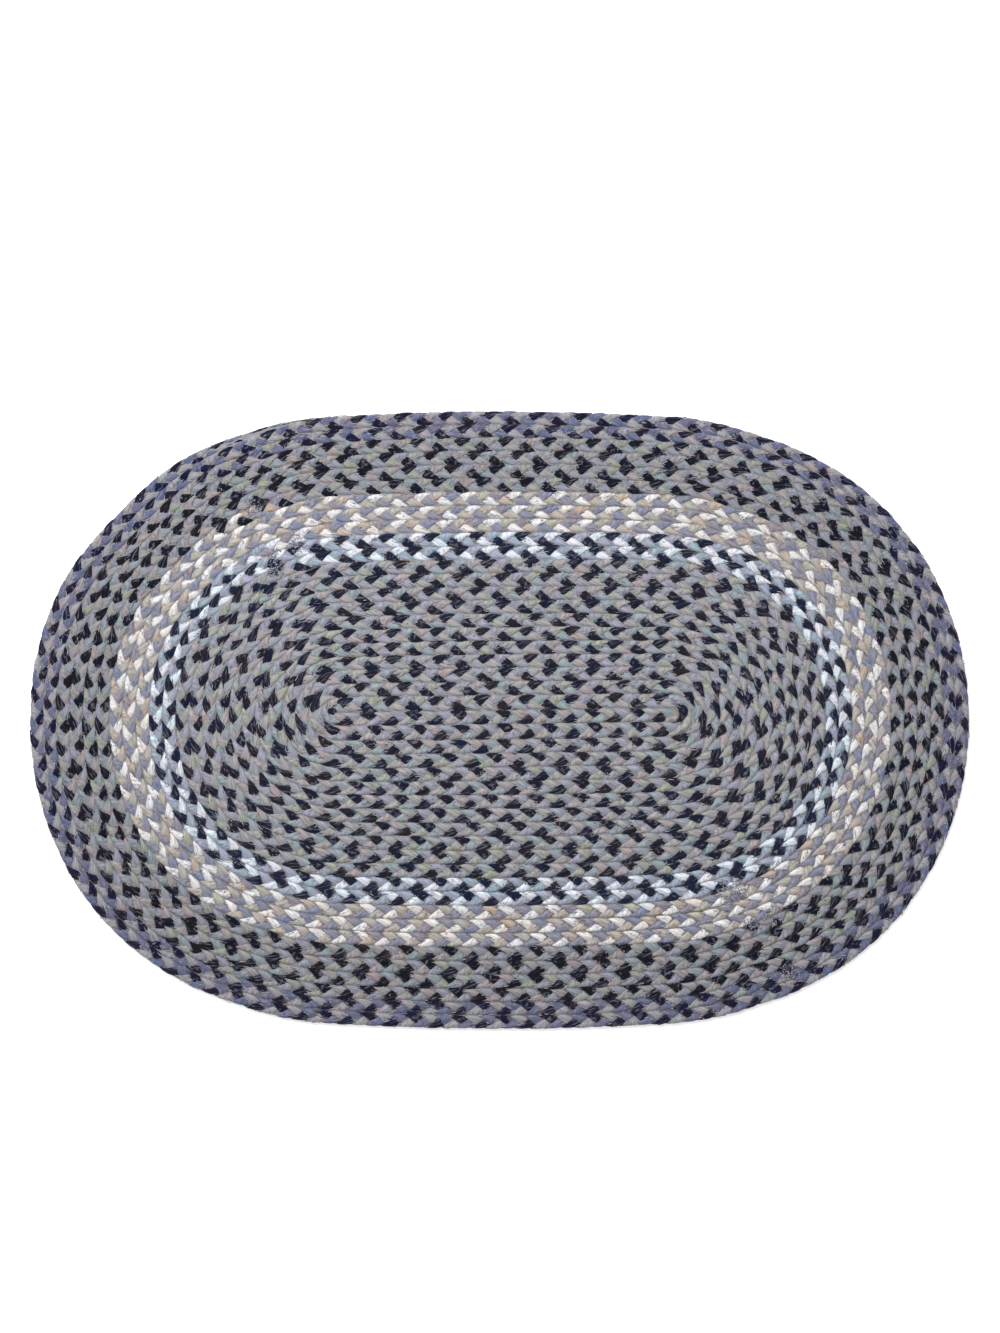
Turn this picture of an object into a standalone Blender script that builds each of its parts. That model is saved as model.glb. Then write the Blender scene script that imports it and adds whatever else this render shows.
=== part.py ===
"""Oval braided jute rug, lying flat.

One flat braid starts near the middle, runs left, and is wound clockwise, seen from above, into an
oval spiral of 22 rounds. Its outer end tapers away at the upper left. The mat is one solid with a
flat underside. Its top rises over each run of braid and dips at each seam between runs.

A place on the mat is given by its station and its level. The station says where it is on the way
round. The level counts braid widths outwards from the middle of the centre run, so that level 0
is on the core line and EDGE_LEVEL is on the rug's outline. Lengths are in metres, +Z is up, and
the origin is at the middle of the underside.
"""

import math

import bmesh
import bpy
from mathutils import Vector

# The core line, along the middle of the centre run. The braid starts at its right end.
CORE_LEFT = Vector((-0.1337, 0.0008, 0.0))
CORE_RIGHT = Vector((0.1424, 0.0045, 0.0))

# The outline: two round ends and two long sides that swell a little.
END_CENTRE_X = 0.1424  # each round end's centre, from the middle of the rug
END_RADIUS = 0.2429
CORNER_SWELL = 0.0026  # added halfway between the long axis and the short one
SIDE_BOW = 0.0103  # added at the middle of each long side
BOW_HALF_LENGTH = 0.214  # the bow ends this far from the middle of the side
FLAT_DEPTH = 0.0053  # taken off at the upper left, just before the outer end of the braid
FLAT_ANGLE = math.radians(136.0)
FLAT_SPREAD = math.radians(12.6)

# The braid.
ROUNDS = 22
HALF_BRAID = 0.5  # in levels
EDGE_LEVEL = ROUNDS + HALF_BRAID
BRAID_WIDTH = 0.011
BRAID_THICKNESS = 0.0085
SEAM_HEIGHT = 0.0055  # the bottom of the groove between two runs
EDGE_HEIGHT = 0.0040  # the outermost braid is widest here
EDGE_UNDERCUT = 0.0016  # the underside's rim lies this far inside the outline
SHOULDER = 0.22  # the flat top of a braid starts at this share of its width, from both sides

# A braid moves out by one level in each turn, round the left end. Inner rounds do it evenly.
# Outer rounds stay at their level until late in the turn, and move out past its end.
LATE_SHIFT_START = math.radians(140.0)
LATE_SHIFT_END = math.radians(184.0)

END_STEPS = 28  # sections round each end, an even number
SIDE_STEPS = 4  # sections along each long side

MERGE_DISTANCE = 0.00001
SMOOTH_BELOW = math.radians(60.0)  # edges that turn more than this are shaded sharp
MAT_COLOUR = (0.185, 0.185, 0.205, 1.0)
MAT_ROUGHNESS = 0.95

UP = math.pi / 2
TURN_STATIONS = 2 * (END_STEPS + SIDE_STEPS)
TOP_LEFT = END_STEPS
TOP_RIGHT = END_STEPS + SIDE_STEPS
BOTTOM_RIGHT = 2 * END_STEPS + SIDE_STEPS


def station(index):
    """(way, angle, turned) of a station, counted clockwise from the foot of the left end.

    way is 0 at the left end of the core line and 1 at the right, angle is the direction in which
    the mat is crossed there, and turned is how far the left end's turn has gone.
    """
    index %= TURN_STATIONS
    side_turn = 2 * END_CENTRE_X / END_RADIUS  # a long side, as a turn at the end's radius
    if index < TOP_LEFT:
        turned = math.pi * index / END_STEPS
        return 0.0, -UP - turned, turned
    if index < TOP_RIGHT:
        way = (index - TOP_LEFT) / SIDE_STEPS
        return way, UP, math.pi + way * side_turn
    if index < BOTTOM_RIGHT:
        angle = UP - math.pi * (index - TOP_RIGHT) / END_STEPS
        return 1.0, angle, math.pi + side_turn
    way = 1.0 - (index - BOTTOM_RIGHT) / SIDE_STEPS
    return way, -UP, math.pi + side_turn


def outline_point(way, angle):
    centre_x = (2 * way - 1) * END_CENTRE_X
    radius = END_RADIUS + CORNER_SWELL * math.sin(2 * angle) ** 2
    from_middle = (centre_x + END_RADIUS * math.cos(angle)) / BOW_HALF_LENGTH
    radius += SIDE_BOW * max(0.0, 1 - from_middle**2)
    from_flat = (angle - FLAT_ANGLE) % (2 * math.pi)
    from_flat = min(from_flat, 2 * math.pi - from_flat)
    if way == 0.0:
        radius -= FLAT_DEPTH * math.exp(-((from_flat / FLAT_SPREAD) ** 2))
    return Vector((centre_x + radius * math.cos(angle), radius * math.sin(angle), 0.0))


def seam_point(index, level):
    """The bottom of the groove at a station and a level. At the outline it is the mat's edge."""
    way, angle, _ = station(index)
    core = CORE_LEFT.lerp(CORE_RIGHT, way)
    point = core.lerp(outline_point(way, angle), level / EDGE_LEVEL)
    inside = min(1.0, EDGE_LEVEL - level)
    point.z = EDGE_HEIGHT + (SEAM_HEIGHT - EDGE_HEIGHT) * inside
    return point


def seam_level(turn, index):
    """The level of the seam on the inner side of the braid at a station in a turn."""
    if turn > ROUNDS:
        return EDGE_LEVEL
    if turn == 0:
        return HALF_BRAID
    turned = station(index)[2]
    around = min(turned, math.pi)
    off_line = HALF_BRAID * math.sin(around)
    even = math.sqrt(turn**2 - off_line**2) - HALF_BRAID * math.cos(around)
    share = (turned - LATE_SHIFT_START) / (LATE_SHIFT_END - LATE_SHIFT_START)
    share = min(1.0, max(0.0, share))
    late = turn - HALF_BRAID + share * share * (3 - 2 * share)
    lateness = turn / ROUNDS
    return even * (1 - lateness) + late * lateness


def braid_sections():
    """The braid's two edges, as pairs of points (inner, outer), from its start to its outer end."""
    pairs = []
    for step in range(END_STEPS // 2, 0, -1):  # the rounded start
        upper, lower = TOP_RIGHT + step, BOTTOM_RIGHT - step
        pairs.append((seam_point(upper, HALF_BRAID), seam_point(lower, HALF_BRAID)))
    for step in range(SIDE_STEPS + 1):  # the centre run, which goes left
        upper, lower = TOP_RIGHT - step, BOTTOM_RIGHT + step
        pairs.append((seam_point(upper, HALF_BRAID), seam_point(lower, HALF_BRAID)))
    fold = seam_point(TOP_LEFT, HALF_BRAID)  # the first turn folds about this point
    for index in range(1, TOP_LEFT + 1):
        pairs.append((fold, seam_point(index, seam_level(1, index))))
    for turn in range(ROUNDS + 1):
        for index in range(TURN_STATIONS):
            if turn == 0 and index <= TOP_LEFT:
                continue
            inner, outer = seam_level(turn, index), seam_level(turn + 1, index)
            pairs.append((seam_point(index, inner), seam_point(index, outer)))
            if turn == ROUNDS and outer - inner < MERGE_DISTANCE:
                return pairs
    return pairs


def section_points(inner, outer):
    """The four points across the top of the braid: seam, shoulder, shoulder, seam."""
    fullness = min(1.0, (outer - inner).length / BRAID_WIDTH)
    rise = (BRAID_THICKNESS - SEAM_HEIGHT) * math.sqrt(fullness)
    shoulders = [inner.lerp(outer, share) for share in (SHOULDER, 1 - SHOULDER)]
    for point in shoulders:
        point.z = max(inner.z, outer.z) + rise
    return (inner, *shoulders, outer)


def build_mat():
    bm = bmesh.new()
    rows = []
    for inner, outer in braid_sections():
        rows.append([bm.verts.new(point) for point in section_points(inner, outer)])
    for row, following in zip(rows, rows[1:]):
        for side in range(3):
            corners = (row[side], following[side], following[side + 1], row[side + 1])
            bm.faces.new(corners)
    bmesh.ops.remove_doubles(bm, verts=bm.verts, dist=MERGE_DISTANCE)

    # The outer side, drawn in towards the rim of the underside.
    rim = [edge for edge in bm.edges if edge.is_boundary]
    side = bmesh.ops.extrude_edge_only(bm, edges=rim)["geom"]
    foot = [item for item in side if isinstance(item, bmesh.types.BMVert)]
    half_length = max(vert.co.x for vert in foot)
    half_width = max(vert.co.y for vert in foot)
    for vert in foot:
        vert.co.x *= 1 - EDGE_UNDERCUT / half_length
        vert.co.y *= 1 - EDGE_UNDERCUT / half_width
        vert.co.z = 0.0
    bmesh.ops.holes_fill(bm, edges=[edge for edge in bm.edges if edge.is_boundary])
    bmesh.ops.recalc_face_normals(bm, faces=bm.faces)
    return bm


def centre_on_origin(bm):
    """Moves the mat so that the middle of its length and width is over the origin."""
    xs = [vert.co.x for vert in bm.verts]
    ys = [vert.co.y for vert in bm.verts]
    middle = Vector(((min(xs) + max(xs)) / 2, (min(ys) + max(ys)) / 2, 0.0))
    bmesh.ops.translate(bm, vec=-middle, verts=bm.verts)


def jute_material():
    material = bpy.data.materials.new("dyed_jute")
    material.use_nodes = True
    shader = material.node_tree.nodes["Principled BSDF"]
    shader.inputs["Base Color"].default_value = MAT_COLOUR
    shader.inputs["Roughness"].default_value = MAT_ROUGHNESS
    shader.inputs["Metallic"].default_value = 0.0
    return material


def main():
    for item in list(bpy.data.objects):
        bpy.data.objects.remove(item, do_unlink=True)
    collection = bpy.data.collections.new("braided_rug")
    bpy.context.scene.collection.children.link(collection)

    bm = build_mat()
    centre_on_origin(bm)
    mesh = bpy.data.meshes.new("braided_mat")
    bm.to_mesh(mesh)
    bm.free()
    mesh.materials.append(jute_material())
    mesh.shade_smooth()
    mesh.set_sharp_from_angle(angle=SMOOTH_BELOW)
    collection.objects.link(bpy.data.objects.new("braided_mat", mesh))


main()
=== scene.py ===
# Oval rug of braided jute, seen from above: its strands, lacing and light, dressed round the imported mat
import math

import bmesh
import bpy
import numpy as np
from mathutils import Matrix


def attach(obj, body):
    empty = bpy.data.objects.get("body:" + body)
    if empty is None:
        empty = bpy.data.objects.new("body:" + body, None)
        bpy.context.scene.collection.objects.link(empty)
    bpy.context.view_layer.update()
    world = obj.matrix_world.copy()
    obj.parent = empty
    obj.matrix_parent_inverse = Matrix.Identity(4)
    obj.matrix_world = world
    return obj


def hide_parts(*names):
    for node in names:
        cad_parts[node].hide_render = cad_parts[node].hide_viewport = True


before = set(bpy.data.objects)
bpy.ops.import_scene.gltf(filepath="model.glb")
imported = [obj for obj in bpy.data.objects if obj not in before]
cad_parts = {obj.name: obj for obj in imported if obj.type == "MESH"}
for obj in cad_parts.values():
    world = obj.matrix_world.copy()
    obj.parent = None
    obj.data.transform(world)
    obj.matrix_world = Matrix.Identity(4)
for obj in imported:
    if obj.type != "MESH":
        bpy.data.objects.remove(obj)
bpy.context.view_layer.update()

mm = 0.001
matNode = "braided_mat"
body = "root"


# The camera looks straight down. The photo's frame is 1000 x 1333, and the rug fills 936 of the 1000.
cameraSetup = {
    "frameHeight": 1.097,  # metres of floor from the bottom of the picture to its top
    "lookAt": (0.0004, 0.0440),  # the rug lies a little below the middle of the picture
    "height": 3.0,
    "sensor": 36.0,
    "clip": (0.1, 20.0),
}


def makeCamera():
    data = bpy.data.cameras.new("photoCamera")
    data.sensor_width = cameraSetup["sensor"]  # the long side's, which is upright here
    data.lens = cameraSetup["sensor"] * cameraSetup["height"] / cameraSetup["frameHeight"]
    data.clip_start, data.clip_end = cameraSetup["clip"]
    camera = bpy.data.objects.new("photoCamera", data)
    camera.location = (*cameraSetup["lookAt"], cameraSetup["height"])
    bpy.context.scene.collection.objects.link(camera)
    bpy.context.scene.camera = camera


makeCamera()
print("camera made")


# The braid's route: a centre run that goes left, then rounds that wind clockwise. Places are complex
# numbers, x + iy. A step counts on along the braid: 64 to a round, from the foot of the left end, with
# the fold after the centre run at 0 to 28 and the centre run before 0.
route = {
    "coreLeft": -0.1337 + 0.0008j,
    "coreRight": 0.1424 + 0.0045j,
    "endCentre": 0.1424,
    "endRadius": 0.2429,
    "cornerSwell": 0.0026,
    "sideBow": 0.0103,
    "bowHalfLength": 0.214,
    "flatDepth": 0.0053,
    "flatAngle": math.radians(136),
    "flatSpread": math.radians(12.6),
    "rounds": 22,
    "halfBraid": 0.5,  # in levels, which count braid widths out from the core line
    "shiftStart": math.radians(140),
    "shiftEnd": math.radians(184),
    "endSteps": 28,
    "sideSteps": 4,
    "rowsPerStep": 8,
    "outwards": 0.12,  # of a braid, by which the rounds lie further out than evenly spaced ones
    "outwardsFade": 3,  # braids from the rim, over which that dies away
    "wander": 0.35 * mm,  # how far the runs wander off their even lines
    "wanderLength": 95 * mm,
    "wanderPhase": (1.3, 0.4),  # radians, along the rug and across it
    "wanderAcross": 0.8,  # the pace of its waves across the rug, against those along it
    "slantWander": 0.6,  # a finer wave, which runs at a slant: its share, and its pace both ways
    "slantPace": (1.9, 2.2),
    "calm": 2,  # braids from the rim and from the core line, over which the wander dies away
}
edgeLevel = route["rounds"] + route["halfBraid"]
topLeft = route["endSteps"]
topRight = topLeft + route["sideSteps"]
bottomRight = topRight + route["endSteps"]
roundSteps = bottomRight + route["sideSteps"]
topMiddle = (topLeft + topRight) / 2
bottomMiddle = (bottomRight + roundSteps) / 2


def crossingAt(step):  # how far along the core, in which direction the rounds are crossed, and the turn
    corners = (0, topLeft, topRight, bottomRight, roundSteps)
    sideTurn = 2 * route["endCentre"] / route["endRadius"]
    step = np.mod(step, roundSteps)
    way = np.interp(step, corners, (0, 0, 1, 1, 0))
    angle = -math.pi / 2 - np.interp(step, corners, (0, math.pi, math.pi, 2 * math.pi, 2 * math.pi))
    turned = np.interp(step, corners[:3], (0, math.pi, math.pi + sideTurn))
    return way, angle, turned


def outlineAt(way, angle):
    centre = (2 * way - 1) * route["endCentre"]
    fromMiddle = (centre + route["endRadius"] * np.cos(angle)) / route["bowHalfLength"]
    fromFlat = np.mod(angle - route["flatAngle"] + math.pi, 2 * math.pi) - math.pi
    radius = route["endRadius"] + route["cornerSwell"] * np.sin(2 * angle) ** 2
    radius = radius + route["sideBow"] * np.maximum(0, 1 - fromMiddle**2)
    radius = radius - (way == 0) * route["flatDepth"] * np.exp(-((fromFlat / route["flatSpread"]) ** 2))
    return centre + radius * np.exp(1j * angle)


def seamLevel(turn, step):  # the seam on the inner side of the braid in that turn
    turned = crossingAt(step)[2]
    around = np.minimum(turned, math.pi)
    offLine = route["halfBraid"] * np.sin(around)
    even = np.sqrt(np.maximum(turn**2 - offLine**2, 0)) - route["halfBraid"] * np.cos(around)
    share = np.clip((turned - route["shiftStart"]) / (route["shiftEnd"] - route["shiftStart"]), 0, 1)
    late = turn - route["halfBraid"] + share * share * (3 - 2 * share)
    lateness = turn / route["rounds"]
    level = even * (1 - lateness) + late * lateness
    level = np.where(turn == 0, route["halfBraid"], level)
    return np.where(turn > route["rounds"], edgeLevel, level)


def seamPlace(step, level):
    way, angle, _ = crossingAt(step)
    fade = np.clip((edgeLevel - level) / route["outwardsFade"], 0, 1)
    level = level + route["outwards"] * np.clip(level - route["halfBraid"], 0, 1) * fade
    core = route["coreLeft"] + (route["coreRight"] - route["coreLeft"]) * way
    place = core + (outlineAt(way, angle) - core) * level / edgeLevel
    # neighbours wander together, and the outline stays as it is
    waves = 2 * math.pi / route["wanderLength"]
    phaseAlong, phaseAcross = route["wanderPhase"]
    paceAlong, paceAcross = route["slantPace"]
    drift = np.sin(waves * place.real + phaseAlong)
    drift = drift * np.sin(route["wanderAcross"] * waves * place.imag + phaseAcross)
    slant = np.sin(paceAlong * waves * place.real + paceAcross * waves * place.imag)
    drift = drift + route["slantWander"] * slant
    calm = np.clip((edgeLevel - level) / route["calm"], 0, 1) * np.clip(level / route["calm"], 0, 1)
    return place + 1j * route["wander"] * drift * calm


def braidEdges(step):
    turn = np.maximum(np.floor(step / roundSteps), 0)
    inner = seamPlace(step, seamLevel(turn, step))
    outer = seamPlace(step, seamLevel(turn + 1, step))
    fold = seamPlace(np.float64(topLeft), route["halfBraid"])
    inner = np.where(step < topLeft, fold, inner)
    inner = np.where(step < 0, seamPlace(topLeft - step, route["halfBraid"]), inner)
    outer = np.where(step < 0, seamPlace(roundSteps + step, route["halfBraid"]), outer)
    return inner, outer


firstStep = -route["sideSteps"] - route["endSteps"] / 2
runOut = (route["shiftEnd"] - math.pi) * route["endRadius"] / (2 * route["endCentre"]) * route["sideSteps"]
lastStep = route["rounds"] * roundSteps + topLeft + runOut
steps = np.linspace(firstStep, lastStep, int((lastStep - firstStep) * route["rowsPerStep"]))
innerEdge, outerEdge = braidEdges(steps)
middleLine = (innerEdge + outerEdge) / 2
acrossLine = outerEdge - innerEdge
print("route laid:", len(steps), "rows")


# How the plait runs along the route. A repeat is the length in which each strand crosses the braid and
# comes back. Where two dark lobes meet at a seam they make the double spots of the photo, so their
# places are given run by run.
plait = {
    "strands": 3,  # each does what the one before it did a third of a repeat earlier
    "centreRunLobe": -15.1 * mm,
    "centreRunRepeats": 7,  # from that lobe round the fold to the first one above it
    "lobePhase": 0.15,  # where in its repeat a strand's outer lobe has its middle
}
zones = {
    # last round, length of a repeat and each strand's dye, in the order in which their lobes follow,
    # how light this batch came out of the dye, how much fuller than the others its dark strand is,
    # and the x in mm of one outer lobe of the first dye on each round, above and below the centre run
    "core": {
        "lastRound": 11, "repeat": 36.3 * mm, "dyes": ("navy", "slateBlue", "greige"),
        "shade": 0.98, "fuller": 1.08,
        "lobesAbove": (-13.5, -6.3, 6.0, -9.9, -16.4, -13.6, -6.2, 3.3, -17.7, 3.2, -8.8),
        "lobesBelow": (-14.0, -14.8, 14.6, -1.3, 10.0, 10.9, 5.0, -3.0, -14.0, 3.6, 16.9),
    },
    "light": {
        "lastRound": 13, "repeat": 37.9 * mm, "dyes": ("inkBlue", "paleBlue", "iceWhite"),
        "shade": 1.0, "fuller": 1.1,
        "lobesAbove": (5.5, -18.2),
        "lobesBelow": (6.0, -7.9),
    },
    "cream": {
        "lastRound": 16, "repeat": 37.9 * mm, "dyes": ("lavender", "cream", "tan"),
        "shade": 1.12, "fuller": 1.0,
        "lobesAbove": (-18.4, 4.1, 0.2),
        "lobesBelow": (-1.3, 13.1, -12.7),
    },
    "outer": {
        "lastRound": 20, "repeat": 36.3 * mm, "dyes": ("deepNavy", "slateBlue", "greige"),
        "shade": 0.86, "fuller": 1.19,
        "lobesAbove": (-13.0, -2.4, 16.0, 5.3),
        "lobesBelow": (12.5, -5.2, 11.2, -17.6),
    },
    "rim": {
        "lastRound": 22, "repeat": 36.8 * mm, "dyes": ("midnight", "periwinkle", "stone"),
        "shade": 0.87, "fuller": 1.02,
        "lobesAbove": (7.9, -6.9),
        "lobesBelow": (3.5, -15.5),
    },
}


def phaseAlongRoute():
    # the plait's pace is kept at the inner seam, where the braid is pulled tight round its neighbour
    paceLine = np.where(steps < topLeft, middleLine, innerEdge)
    pace = np.concatenate([[0], np.cumsum(np.abs(np.diff(paceLine)))])
    knownPace, knownPhase = [], []
    turn = 0
    for zone in zones.values():
        for lobes in zip(zone["lobesAbove"], zone["lobesBelow"]):
            for lobe, row, heading in zip(lobes, (topMiddle, bottomMiddle), (1, -1)):
                place = np.interp(turn * roundSteps + row, steps, middleLine)
                here = np.interp(turn * roundSteps + row, steps, pace)
                phase = plait["lobePhase"] + heading * (place.real - lobe * mm) / zone["repeat"]
                if knownPhase:
                    phase += round(knownPhase[-1] + (here - knownPace[-1]) / zone["repeat"] - phase)
                knownPace.append(here)
                knownPhase.append(phase)
            turn += 1
    centreRun = steps < 0
    centrePace = np.interp(-plait["centreRunLobe"], -middleLine.real[centreRun], pace[centreRun])
    centrePhase = plait["lobePhase"] - plait["centreRunRepeats"]
    startPhase = centrePhase - centrePace / zones["core"]["repeat"]
    endPhase = knownPhase[-1] + (pace[-1] - knownPace[-1]) / zones["rim"]["repeat"]
    knownPace = [0.0, centrePace, *knownPace, pace[-1]]
    knownPhase = [startPhase, centrePhase, *knownPhase, endPhase]
    return np.interp(pace, knownPace, knownPhase)


phaseLine = phaseAlongRoute()
print("plait paced:", round(phaseLine[-1] - phaseLine[0]), "repeats")


def addNode(tree, kind, values=None, feeds=None, **settings):
    node = tree.nodes.new(kind)
    for setting, value in settings.items():
        setattr(node, setting, value)
    for socket, value in (values or {}).items():
        node.inputs[socket].default_value = value
    for socket, source in (feeds or {}).items():
        tree.links.new(source, node.inputs[socket])
    return node


def linear(hexColour, gain=1.0):
    channels = [int(hexColour[k : k + 2], 16) / 255 for k in (1, 3, 5)]
    return (*(gain * (c / 12.92 if c <= 0.04045 else ((c + 0.055) / 1.055) ** 2.4) for c in channels), 1.0)


# Dyed jute, laid up from loose fibres: matt, a little hairy, streaked along the strand where fibres
# took the dye unevenly. Each dye is (main, cooler, warmer), and the strand drifts between them.
dyes = {
    "navy": ("#1c1c2d", "#171d38", "#2a2529"),
    "deepNavy": ("#151523", "#11152d", "#211d20"),
    "inkBlue": ("#192137", "#151f3d", "#222337"),
    "midnight": ("#1b1836", "#151741", "#281f31"),
    "slateBlue": ("#9ea2ad", "#96a8a9", "#a4a0b3"),
    "paleBlue": ("#a2abbe", "#9ab3bf", "#aaaac1"),
    "periwinkle": ("#727694", "#6a749a", "#7f7c99"),
    "lavender": ("#888897", "#7b829f", "#958990"),
    "greige": ("#a8a6a9", "#a5aa97", "#b2a1a2"),
    "stone": ("#aba9b2", "#a8abab", "#b3a7ab"),
    "tan": ("#b0aaa7", "#aeac99", "#bca793"),
    "cream": ("#dfdcdc", "#dcdde1", "#e1d8cf"),
    "iceWhite": ("#e3e9f4", "#d9e9f5", "#eae8f0"),
}
darkDyes = ("navy", "deepNavy", "inkBlue", "midnight")
juteLook = {
    "gain": 0.78,  # the light in the scene against the light in which the hex colours were read
    "fibreWidth": 0.6 * mm,  # real fibres are 0.1 mm, too fine to show, so this is a bundle of them
    "fibreLength": 6 * mm,
    "fibreSlant": math.radians(11),  # the fibres are lightly twisted
    "driftLength": 11 * mm,  # about one lobe
    "driftEnds": (0.28, 0.72),  # where in the noise the strand is all cooler, and all warmer
    "streakRange": (0.25, 0.75),  # where in its noise a streak is darkest, and lightest
    "streakDark": 0.6,
    "streakLight": 1.34,
    "bumpHeight": 0.25 * mm,
    "bumpStrength": 0.6,
    "looseLength": 4 * mm,  # loose fibres change colour over this length
    "looseEnds": (0.35, 0.65),  # as driftEnds
    "wispWidth": 1.1 * mm,  # loose tufts that lie over the strand
    "wispLength": 4.5 * mm,
    "wispSlant": math.radians(-24),
    "wispRange": (0.52, 0.78),  # from no tuft to a full one
    "wispColour": "#a3a5b2",
    "wispShare": 0.34,
    "roughness": 0.92,
    "sheen": 0.3,
    "specular": 0.1,
    "sheenRoughness": 0.4,
}


def mattMaterial(name, roughness, specular):
    material = bpy.data.materials.new(name)
    material.use_nodes = True
    shader = material.node_tree.nodes["Principled BSDF"]
    shader.inputs["Roughness"].default_value = roughness
    shader.inputs["Specular IOR Level"].default_value = specular
    return material, shader


def driftingDye(tree, colours, gain, length, ends):  # it drifts between its colours from place to place
    main, cooler, warmer = (linear(colour, gain) for colour in colours)
    place = addNode(tree, "ShaderNodeTexCoord")
    drift = addNode(
        tree, "ShaderNodeTexNoise", {"Scale": 1 / length, "Detail": 1.0},
        {"Vector": place.outputs["Object"]},
    )
    ramp = addNode(tree, "ShaderNodeValToRGB", feeds={"Fac": drift.outputs["Fac"]})
    for element, end, colour in zip(ramp.color_ramp.elements, ends, (cooler, warmer)):
        element.position, element.color = end, colour
    ramp.color_ramp.elements.new(0.5).color = main
    return ramp.outputs["Color"]


def noiseAlongStrand(tree, slant, length, width, values):  # drawn out along the strand, at a slant
    strandPlace = addNode(tree, "ShaderNodeUVMap", uv_map="strandMap")
    turned = addNode(
        tree, "ShaderNodeMapping", {"Rotation": (0, 0, slant)}, {"Vector": strandPlace.outputs["UV"]},
    )
    drawn = addNode(
        tree, "ShaderNodeMapping", {"Scale": (1 / length, 1 / width, 1.0)},
        {"Vector": turned.outputs["Vector"]},
    )
    noise = addNode(
        tree, "ShaderNodeTexNoise", {"Scale": 1.0, **values}, {"Vector": drawn.outputs["Vector"]},
        noise_dimensions="2D",
    )
    return noise.outputs["Fac"]


def juteMaterial(name, colours, shade):
    material, shader = mattMaterial(name, juteLook["roughness"], juteLook["specular"])
    tree = material.node_tree
    gain = juteLook["gain"] * shade
    dyed = driftingDye(tree, colours, gain, juteLook["driftLength"], juteLook["driftEnds"])
    fibres = noiseAlongStrand(
        tree, juteLook["fibreSlant"], juteLook["fibreLength"], juteLook["fibreWidth"],
        {"Detail": 2.0, "Roughness": 0.6},
    )
    streakFrom, streakTo = juteLook["streakRange"]
    streak = addNode(
        tree, "ShaderNodeMapRange",
        {
            "From Min": streakFrom, "From Max": streakTo,
            "To Min": juteLook["streakDark"], "To Max": juteLook["streakLight"],
        },
        {"Value": fibres},
    )
    streaked = addNode(
        tree, "ShaderNodeVectorMath", feeds={0: dyed, "Scale": streak.outputs["Result"]}, operation="SCALE",
    )
    wisps = noiseAlongStrand(
        tree, juteLook["wispSlant"], juteLook["wispLength"], juteLook["wispWidth"],
        {"Detail": 1.0, "Distortion": 0.6},
    )
    wispFrom, wispTo = juteLook["wispRange"]
    wispMask = addNode(
        tree, "ShaderNodeMapRange",
        {"From Min": wispFrom, "From Max": wispTo, "To Min": 0.0, "To Max": juteLook["wispShare"]},
        {"Value": wisps}, interpolation_type="SMOOTHSTEP",
    )
    tufted = addNode(
        tree, "ShaderNodeMixRGB", {"Color2": linear(juteLook["wispColour"], juteLook["gain"])},
        {"Fac": wispMask.outputs["Result"], "Color1": streaked.outputs["Vector"]},
    )
    bump = addNode(
        tree, "ShaderNodeBump",
        {"Strength": juteLook["bumpStrength"], "Distance": juteLook["bumpHeight"]}, {"Height": fibres},
    )
    tree.links.new(tufted.outputs["Color"], shader.inputs["Base Color"])
    tree.links.new(bump.outputs["Normal"], shader.inputs["Normal"])
    shader.inputs["Sheen Weight"].default_value = juteLook["sheen"]
    shader.inputs["Sheen Roughness"].default_value = juteLook["sheenRoughness"]
    return material


def looseMaterial(name, colours):  # loose or packed fibres and thread: matt, and never one even colour
    material, shader = mattMaterial(name, juteLook["roughness"], juteLook["specular"])
    tree = material.node_tree
    dyed = driftingDye(tree, colours, juteLook["gain"], juteLook["looseLength"], juteLook["looseEnds"])
    tree.links.new(dyed, shader.inputs["Base Color"])
    return material


def addPiece(name, bm, material):
    mesh = bpy.data.meshes.new(name)
    bm.to_mesh(mesh)
    bm.free()
    mesh.materials.append(material)
    mesh.shade_smooth()
    piece = bpy.data.objects.new(name, mesh)
    bpy.context.scene.collection.objects.link(piece)
    return piece


tube = {
    "weld": 0.001 * mm,
    "rowMargin": 0.04,  # of a row, left bare on both sides of each row of the map for baking
    "endMargin": 0.002,  # of that map, left bare at both ends of its rows
}


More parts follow.
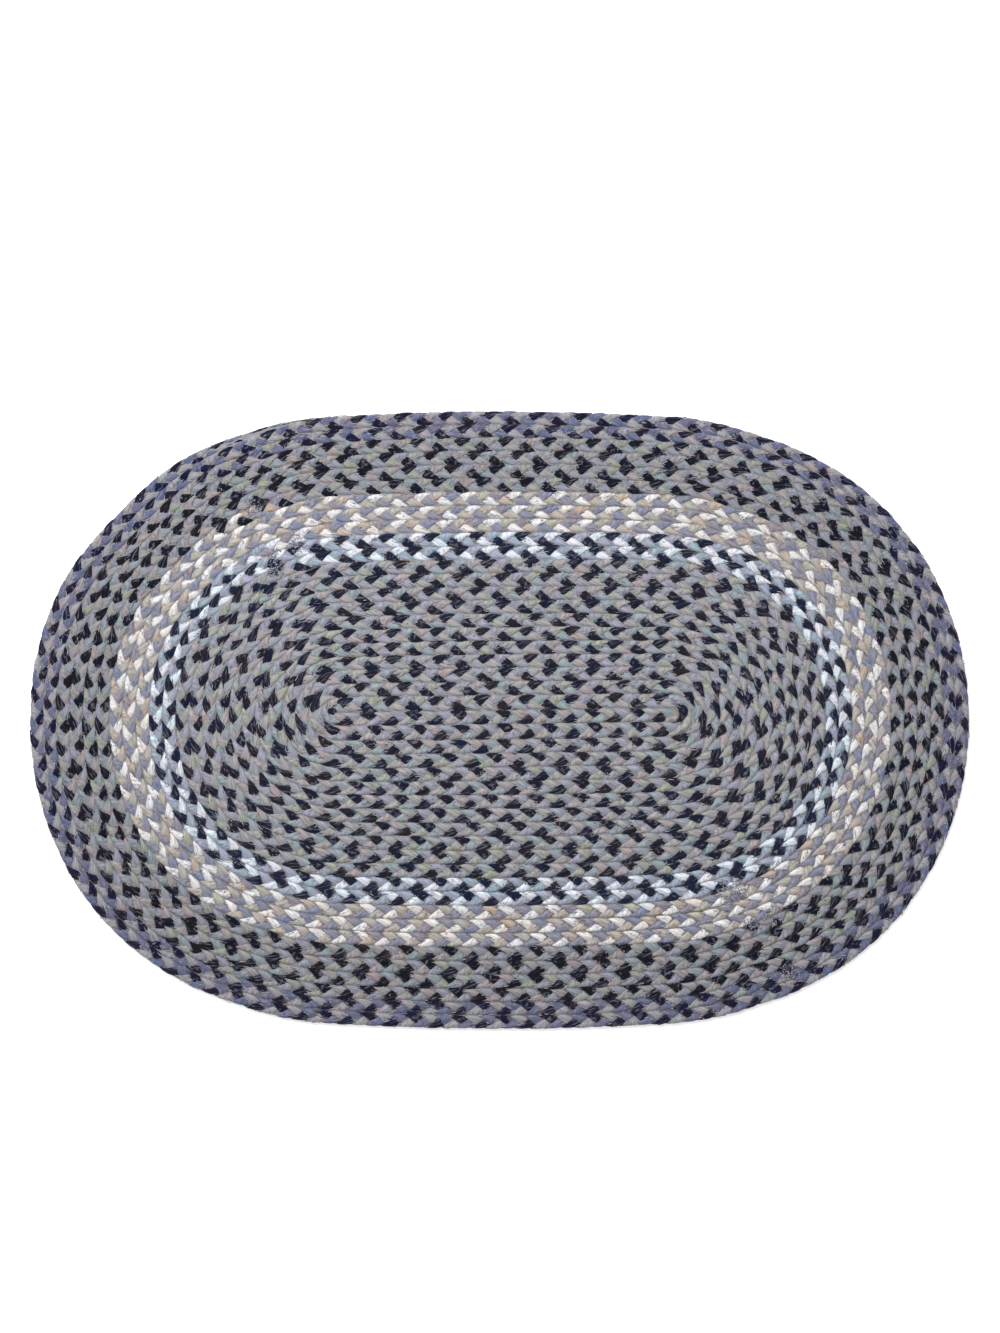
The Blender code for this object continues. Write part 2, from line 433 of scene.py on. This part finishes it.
def rolledTube(name, placeAt, rings, sides, squareness, ringLength, girth, material):
    # a flat grid is rolled up and welded where it meets and where it ends. placeAt gives the place for
    # an array of rings and for how far across and up each point lies in the strand, from -1 to 1
    bm = bmesh.new()
    bm.loops.layers.uv.new("strandMap")
    bmesh.ops.create_grid(bm, x_segments=rings - 1, y_segments=sides, size=0.5, calc_uvs=True)
    flat = np.array([vert.co for vert in bm.verts])
    ring = np.rint((flat[:, 0] + 0.5) * (rings - 1)).astype(int)
    turn = 2 * math.pi * np.rint((flat[:, 1] + 0.5) * sides) / sides
    acrossShare = np.sign(np.cos(turn)) * np.abs(np.cos(turn)) ** (2 / squareness)
    upShare = np.sign(np.sin(turn)) * np.abs(np.sin(turn)) ** (2 / squareness)
    for vert, spot in zip(bm.verts, placeAt(ring, acrossShare, upShare)):
        vert.co = spot
    bmesh.ops.remove_doubles(bm, verts=bm.verts, dist=tube["weld"])
    bmesh.ops.recalc_face_normals(bm, faces=bm.faces)
    piece = addPiece(name, bm, material)

    # the map in metres, along the strand and round it, and the map in rows for a baked picture
    mesh = piece.data
    spots = np.zeros(len(mesh.loops) * 2)
    mesh.uv_layers["strandMap"].uv.foreach_get("vector", spots)
    spots = spots.reshape(-1, 2)
    starts = np.zeros(len(mesh.polygons), int)
    mesh.polygons.foreach_get("loop_start", starts)
    sizes = np.diff(np.append(starts, len(mesh.loops)))
    length = (rings - 1) * ringLength
    # a face belongs to the row in which its middle lies
    faceShare = np.repeat(np.minimum.reduceat(spots[:, 0], starts) + 0.5 / (rings - 1), sizes)
    rows = max(1, round(math.sqrt(length / girth)))
    row = np.minimum(np.floor(faceShare * rows), rows - 1)
    alongRow = tube["endMargin"] + (1 - 2 * tube["endMargin"]) * (spots[:, 0] * rows - row)
    upRows = (row + tube["rowMargin"] + (1 - 2 * tube["rowMargin"]) * spots[:, 1]) / rows
    inRows = np.stack([alongRow, upRows], 1)
    inMetres = np.stack([spots[:, 0] * length, spots[:, 1] * girth], 1)
    mesh.uv_layers["strandMap"].uv.foreach_set("vector", inMetres.ravel())
    mesh.uv_layers.new(name="OFBake").uv.foreach_set("vector", inRows.ravel())
    return piece


# One strand of a zone, a flattened roll of jute. It crosses the braid on top, folds over its edge and
# crosses back underneath. Each fold lies along the seam, so a ring of the strand does too.
strand = {
    "braidWidth": 11 * mm,  # where the sizes in millimetres hold
    "swing": 4.35 * mm,  # how far the middle of the strand goes to each side: neighbours press together
    "dwell": 0.05,  # it waits a little at the edges, so that it crosses more steeply
    "halfWidth": 6.55 * mm,  # along the seam, where the strand lies slantwise
    "halfHeight": 1.8 * mm,
    "lift": 2.15 * mm,
    "middleHeight": 4.2 * mm,
    "twist": 0.88,  # how much sooner one side of the strand comes up, where it comes out from below
    "twistLead": 0.3,  # both in radians of its wave
    "squareness": 2.2,  # 2 is an ellipse
    "sides": 10,
    "ringsPerRepeat": 16,
    "spliceSpan": 0.12,  # of a repeat, in which a new colour comes in under its neighbours
    "spliceTurn": (150, 160, 170),  # degrees round the left end at which each strand changes colour
    "underneath": 0.375,  # of a repeat: there, and half a repeat on, a strand runs lowest
    "uneven": 0.09,  # how much the strand's width and thickness vary
    "swingUneven": 0.07,
    "paceUneven": 0.016,  # of a repeat
    "swells": (0.3, 0.5, 0.5, 0.4),  # of a repeat, over which width, thickness, swing and pace vary
    "nudge": (0.1, 0.05),  # rings and half widths, the small steps that show which way it faces
    "laneSeed": 100,
}


def slowNoise(count, length, random):  # smooth, about -1 to 1, with that many rings to a swell
    knots = random.uniform(-1, 1, int(count / length) + 4)
    at = np.arange(count) / length
    low = np.floor(at).astype(int)
    blend = at - low
    blend = blend * blend * (3 - 2 * blend)
    return knots[low] * (1 - blend) + knots[low + 1] * blend


def strandPiece(name, lane, startPhase, endPhase, zone, isDark, material, random):
    repeat = zone["repeat"]
    rings = int((endPhase - startPhase) * strand["ringsPerRepeat"]) + 1
    phases = np.linspace(startPhase, endPhase, rings)
    ends = np.minimum(phases - startPhase, endPhase - phases) / strand["spliceSpan"]
    ends = np.sqrt(1 - (1 - np.clip(ends, 0, 1)) ** 2)
    lengths = [share * strand["ringsPerRepeat"] for share in strand["swells"]]
    widthNoise, heightNoise, swingNoise, paceNoise = (slowNoise(rings, swell, random) for swell in lengths)
    widths = ends * (1 + strand["uneven"] * widthNoise)
    heights = ends * (1 + strand["uneven"] * heightNoise)
    swings = strand["swing"] / strand["braidWidth"] * (1 + strand["swingUneven"] * swingNoise)
    shifts = strand["paceUneven"] * paceNoise
    if isDark:
        swings, heights = swings * zone["fuller"], heights * math.sqrt(zone["fuller"])
    ringStep = (endPhase - startPhase) / (rings - 1)
    ringCount = np.arange(rings)

    def surfaceAt(ring, acrossShare):
        phase = startPhase + ring * ringStep
        wave = 2 * math.pi * (phase - lane / plait["strands"] + np.interp(ring, ringCount, shifts))
        side = np.sin(wave + strand["dwell"] * np.sin(2 * wave))
        twisted = wave + strand["twist"] * acrossShare * np.cos(wave + strand["twistLead"]) ** 2
        phase = phase + acrossShare * strand["halfWidth"] / repeat
        middle = np.interp(phase, phaseLine, middleLine)
        across = np.interp(phase, phaseLine, acrossLine)
        full = np.sqrt(np.minimum(1, np.abs(across) / strand["braidWidth"]))  # less where the braid tapers
        place = middle + across * side * np.interp(ring, ringCount, swings)
        height = strand["middleHeight"] + full * strand["lift"] * np.sin(2 * twisted)
        return np.stack([place.real, place.imag, height], 1), full

    def placeAt(ring, acrossShare, upShare):
        acrossShare = acrossShare * np.interp(ring, ringCount, widths)
        spot, full = surfaceAt(ring, acrossShare)
        onwards, aside = strand["nudge"]
        along = surfaceAt(ring + onwards, acrossShare)[0] - surfaceAt(ring - onwards, acrossShare)[0]
        over = surfaceAt(ring, acrossShare + aside)[0] - surfaceAt(ring, acrossShare - aside)[0]
        facing = np.cross(along, over)
        facing /= np.linalg.norm(facing, axis=1)[:, None] + 1e-12  # never a division by zero
        thickness = full * strand["halfHeight"] * np.interp(ring, ringCount, heights)
        return spot + facing * (upShare * thickness)[:, None]

    lean = math.atan(4 * strand["swing"] / repeat)  # the strand's own slant, on average
    ringLength = repeat / math.cos(lean) / strand["ringsPerRepeat"]
    girth = 4 * strand["halfWidth"] * math.sin(lean)  # over its top and back underneath
    looseFibres.extend(fibresOn(placeAt, rings, lane, startPhase, ringStep, isDark, random))
    return rolledTube(
        name, placeAt, rings, strand["sides"], strand["squareness"], ringLength, girth, material
    )


# Loose fibres that come off the sides of the strands and lie over their neighbours: thin, flat ribbons
fuzz = {
    "tones": {
        "pale": ("#a9a7ab", "#9a9fae", "#b3a9a1"),
        "middle": ("#676a82", "#5c6986", "#716c78"),
        "dark": ("#25253c", "#232b49", "#312d3b"),
    },
    "onDark": (0.05, 0.25, 0.7),  # the share of each tone on a dark strand, and on the others
    "onLight": (0.74, 0.26, 0.0),
    "perRepeat": 18,  # on each strand
    "onTop": (-0.4, 1.7),  # radians of its wave, from just before the middle of the braid to its edge
    "bareEnds": 0.5,  # of a repeat, at both ends of a strand
    "bareRings": 3,  # and never on the last few rings
    "rootShare": (0.6, 1.0),  # where most come out, in half widths from the strand's middle
    "reach": 0.6,  # how far they reach sideways at most, in half widths
    "reachShare": (0.3, 1.0),  # of that
    "alongRings": 1.3,  # and how far they run on or back, in rings of the strand
    "scattered": 0.3,  # the share of fibres that come out anywhere
    "scatteredTo": 0.8,  # in half widths from the strand's middle
    "rimShare": 0.97,  # in half widths: further out, a root is no lower on the strand than here
    "curl": 0.12,  # how far aside a fibre's middle commonly lies, in lengths of the fibre
    "width": 0.65 * mm,
    "taper": (0.8, 1.0, 0.25),  # its width at the root, the middle and the tip
    "standOff": 0.5 * mm,
    "rootOff": 0.2,  # of that, at the root
    # hairy places where strands were joined, as (x, y, radius) in mm
    "splices": (
        (191, -140, 12), (225, -161, 9), (207, -168, 7), (238, -209, 9),
        (-166, 144, 7), (-184, 123, 7), (-202, 173, 8), (-184, 135, 6),
    ),
    "perSquareMm": 0.4,
    "onSplice": (0.45, 0.55, 0.0),  # the share of each tone there
    "spliceHeight": 8.0 * mm,
    "spliceLift": 0.4 * mm,
    "spliceHair": 2.6 * mm,
    "spliceShare": (0.5, 1.0),  # of that, from the shortest hair to the longest
    "spliceBend": 0.3,
    "spliceSeed": 5,
}


def fibresOn(placeAt, rings, lane, startPhase, ringStep, isDark, random):
    count = int(rings / strand["ringsPerRepeat"] * fuzz["perRepeat"])
    # they start where the strand is on top
    wave = random.integers(0, 2, count) * math.pi + random.uniform(*fuzz["onTop"], count)
    endPhase = startPhase + (rings - 1) * ringStep
    repeats = random.uniform(startPhase + fuzz["bareEnds"], endPhase - fuzz["bareEnds"], count)
    phase = np.floor(repeats) + wave / (2 * math.pi) + lane / plait["strands"]
    ring = np.clip((phase - startPhase) / ringStep, fuzz["bareRings"], rings - 1 - fuzz["bareRings"])
    side = random.integers(0, 2, count) * 2 - 1
    share = side * random.uniform(*fuzz["rootShare"], count)
    reach = side * random.uniform(*fuzz["reachShare"], count) * fuzz["reach"]
    scattered = random.random(count) < fuzz["scattered"]
    share = np.where(scattered, random.uniform(-fuzz["scatteredTo"], fuzz["scatteredTo"], count), share)
    reach = np.where(scattered, random.uniform(-1, 1, count) * fuzz["reach"], reach)
    onwards = random.uniform(-fuzz["alongRings"], fuzz["alongRings"], count)

    fromMiddle = np.minimum(np.abs(share), fuzz["rimShare"])
    rise = (1 - fromMiddle ** strand["squareness"]) ** (1 / strand["squareness"])
    upper, lower = (placeAt(ring, share, sign * rise) for sign in (1, -1))
    root = np.where((upper[:, 2] > lower[:, 2])[:, None], upper, lower)
    level = np.zeros(count)
    along = placeAt(ring + 0.5, share, level) - placeAt(ring - 0.5, share, level)
    over = placeAt(ring, share + 0.5, level) - placeAt(ring, share - 0.5, level)
    heading = along * onwards[:, None] + over * reach[:, None]
    curl = random.normal(0, fuzz["curl"], count)
    knots = []
    for t in (0.0, 0.5, 1.0):
        spot = root + heading * t
        spot[:, :2] += (curl * t * (1 - t))[:, None] * np.stack([-heading[:, 1], heading[:, 0]], 1) * 4
        spot[:, 2] = root[:, 2] + fuzz["standOff"] * (fuzz["rootOff"] + t)
        knots.append(spot)
    tone = random.choice(len(fuzz["tones"]), count, p=fuzz["onDark"] if isDark else fuzz["onLight"])
    return list(zip(np.stack(knots, 1), tone))


def fibresAtSplices(random):
    found = []
    for x, y, radius in fuzz["splices"]:
        count = int(math.pi * radius**2 * fuzz["perSquareMm"])
        away = radius * np.sqrt(random.random(count))
        middle = x + 1j * y + away * np.exp(2j * math.pi * random.random(count))
        length = fuzz["spliceHair"] * random.uniform(*fuzz["spliceShare"], count)
        heading = length * np.exp(1j * math.pi * random.random(count))
        bend = random.normal(0, fuzz["spliceBend"], count)
        lift = random.uniform(0, fuzz["spliceLift"], count)
        knots = []
        for t in (-0.5, 0.0, 0.5):
            spot = middle * mm + heading * (t + 1j * bend * (0.25 - t * t))
            knots.append(np.stack([spot.real, spot.imag, fuzz["spliceHeight"] + lift], 1))
        tone = random.choice(len(fuzz["tones"]), count, p=fuzz["onSplice"])
        found.extend(zip(np.stack(knots, 1), tone))
    return found


def fibrePiece(name, centres, material):
    # one short ribbon is made, and repeated along every fibre
    bm = bmesh.new()
    bmesh.ops.create_grid(bm, x_segments=2, y_segments=1, size=0.5)
    ribbon = bpy.data.meshes.new(name)
    bm.to_mesh(ribbon)
    bm.free()
    points = np.array([vert.co for vert in ribbon.vertices])
    faces = np.array([face.vertices for face in ribbon.polygons])
    knot = np.rint((points[:, 0] + 0.5) * 2).astype(int)
    heading = centres[:, -1] - centres[:, 0]
    side = np.cross(heading, (0.0, 0.0, 1.0))
    side /= np.linalg.norm(side, axis=1)[:, None] + 1e-9  # never a division by zero
    width = np.array(fuzz["taper"])[knot] * points[:, 1] * fuzz["width"]
    spots = centres[:, knot] + side[:, None] * width[None, :, None]
    every = faces[None] + np.arange(len(centres))[:, None, None] * len(points)
    ribbon.clear_geometry()
    ribbon.from_pydata(spots.reshape(-1, 3), [], every.reshape(-1, 4))
    bm = bmesh.new()
    bm.from_mesh(ribbon)
    return addPiece(name, bm, material)


def splicePhase(lane, lastRound):  # the nearest place to the splice where the strand runs underneath
    row = lastRound * roundSteps + strand["spliceTurn"][lane] / 180 * route["endSteps"]
    phase = np.interp(row, steps, phaseLine)
    halfRepeats = round((phase - lane / plait["strands"] - strand["underneath"]) * 2)
    return halfRepeats / 2 + strand["underneath"] + lane / plait["strands"]


strands = []
looseFibres = []
for lane in range(plait["strands"]):
    start = phaseLine[0]
    for zoneName, zone in zones.items():
        last = zone["lastRound"] == route["rounds"]
        end = phaseLine[-1] if last else splicePhase(lane, zone["lastRound"])
        dye = zone["dyes"][lane]
        material = juteMaterial(f"braidedJute_{dye}_{zoneName}", dyes[dye], zone["shade"])
        random = np.random.default_rng(strand["laneSeed"] * lane + zone["lastRound"])
        name = f"strand_{dye}_{zoneName}"
        strands.append(strandPiece(name, lane, start, end, zone, dye in darkDyes, material, random))
        start = end - strand["spliceSpan"]
print("strands plaited:", len(strands))


looseFibres.extend(fibresAtSplices(np.random.default_rng(fuzz["spliceSeed"])))
fuzzPieces = []
for k, (tone, colours) in enumerate(fuzz["tones"].items()):
    centres = np.array([centre for centre, ownTone in looseFibres if ownTone == k])
    fuzzPieces.append(fibrePiece(f"fuzz_{tone}", centres, looseMaterial(f"looseJute_{tone}", colours)))
print("loose fibres laid:", len(looseFibres))


# The lacing thread, which sews each round to the one inside it. It winds along the seam, deep in it
# for the most part, and shows in a few places.
lacing = {
    "radius": 0.4 * mm,
    "sides": 3,
    "spacing": 6 * mm,
    "stitch": 34 * mm,
    "sway": 0.6 * mm,
    "height": 5.7 * mm,
    "rise": 0.5 * mm,
    "surfacing": 0.7 * mm,  # how much higher it comes in some stretches, and lower in others
    "stretch": 25,  # in rings
    "seed": 7,
    "colours": ("#948364", "#857b6b", "#9f8a5e"),
}


def lacingPiece():
    seam = innerEdge[steps >= topLeft]
    way = np.concatenate([[0], np.cumsum(np.abs(np.diff(seam)))])
    rings = int(way[-1] / lacing["spacing"])
    random = np.random.default_rng(lacing["seed"])
    at = np.linspace(0, way[-1], rings)
    wave = 2 * math.pi * at / lacing["stitch"]
    heights = lacing["height"] + lacing["rise"] * np.sin(wave)
    heights += lacing["surfacing"] * slowNoise(rings, lacing["stretch"], random)
    line = np.interp(at, way, seam)
    sideways = 1j * np.gradient(line) / np.abs(np.gradient(line))
    line = line + sideways * lacing["sway"] * np.cos(wave)

    def placeAt(ring, acrossShare, upShare):
        spot = line[ring] + sideways[ring] * lacing["radius"] * acrossShare
        return np.stack([spot.real, spot.imag, heights[ring] + lacing["radius"] * upShare], 1)

    return rolledTube(
        "lacing_thread", placeAt, rings, lacing["sides"], squareness=2, ringLength=lacing["spacing"],
        girth=6 * lacing["radius"], material=looseMaterial("waxedThread_brown", lacing["colours"]),
    )


thread = lacingPiece()
print("lacing threaded")


# The packed fibres in the heart of the braid, one thin sheet that closes the gaps between the strands. Its
# mid grey is partly the fibres' own colour and partly painted shade for the bottoms of the seams, where it
# shows.
heart = {
    "low": 2.2 * mm, "high": 6.35 * mm, "inset": 1.7 * mm, "sides": 240,
    # a mid grey whatever the zone's dyes: partly packed fibre, partly painted shade in the seams
    "colours": ("#a0a0a7", "#93979e", "#a79f9a"),
}


def heartSheet():
    bm = bmesh.new()
    bmesh.ops.create_circle(bm, cap_ends=True, segments=heart["sides"], radius=1.0)
    for vert in bm.verts:
        angle = math.atan2(vert.co.y, vert.co.x)
        step = roundSteps * (0.75 - angle / (2 * math.pi))  # clockwise from the foot
        edge = seamPlace(np.float64(step), edgeLevel)
        edge -= heart["inset"] * edge / abs(edge)
        vert.co = (edge.real, edge.imag, heart["low"])
    raised = bmesh.ops.extrude_face_region(bm, geom=list(bm.faces))["geom"]
    top = [item for item in raised if isinstance(item, bmesh.types.BMVert)]
    bmesh.ops.translate(bm, vec=(0, 0, heart["high"] - heart["low"]), verts=top)
    bmesh.ops.recalc_face_normals(bm, faces=bm.faces)
    return addPiece("jute_heart", bm, looseMaterial("packedJute_and_paintedShade_heart", heart["colours"]))


heartPiece = heartSheet()
print("heart laid")


# Floor and light: a white sweep under flat, soft light, a little stronger from the upper left
studio = {
    "floorSize": 12.0,
    "floorColour": "#fbfbfb",
    "floorRoughness": 0.9,
    "floorGlow": 0.4,  # painted light: the sweep glows by itself, so the rug casts next to no shadow on it
    "lightColour": (1, 1, 1, 1),
    "skyStrength": 0.54,
    "lampPower": 57.0,
    "lampSize": 1.6,
    "lampPlace": (-0.5, 1.15, 1.95),
}


def makeStudio():
    bm = bmesh.new()
    bmesh.ops.create_grid(bm, x_segments=1, y_segments=1, size=studio["floorSize"] / 2)
    paper, shader = mattMaterial("whitePaper_sweep", studio["floorRoughness"], specular=0.0)
    shader.inputs["Base Color"].default_value = linear(studio["floorColour"])
    # painted light: the floor glows, which washes out the rug's shadow and lights the rug's sides a little
    shader.inputs["Emission Color"].default_value = studio["lightColour"]
    shader.inputs["Emission Strength"].default_value = studio["floorGlow"]
    floor = addPiece("studio_floor", bm, paper)

    world = bpy.data.worlds.new("softSky")
    world.use_nodes = True
    sky = world.node_tree.nodes["Background"]
    sky.inputs["Color"].default_value = studio["lightColour"]
    sky.inputs["Strength"].default_value = studio["skyStrength"]
    bpy.context.scene.world = world

    light = bpy.data.lights.new("softBox", "AREA")
    light.energy, light.size = studio["lampPower"], studio["lampSize"]
    lamp = bpy.data.objects.new("softBox", light)
    lamp.location = studio["lampPlace"]
    towardsRug = -lamp.location
    lamp.rotation_mode = "QUATERNION"
    lamp.rotation_quaternion = towardsRug.to_track_quat("-Z", "Y")
    bpy.context.scene.collection.objects.link(lamp)
    bpy.context.scene.view_settings.view_transform = "Standard"
    return floor


floor = makeStudio()
print("studio set")

for piece in strands + fuzzPieces + [thread, heartPiece]:
    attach(piece, body)
    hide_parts(matNode)
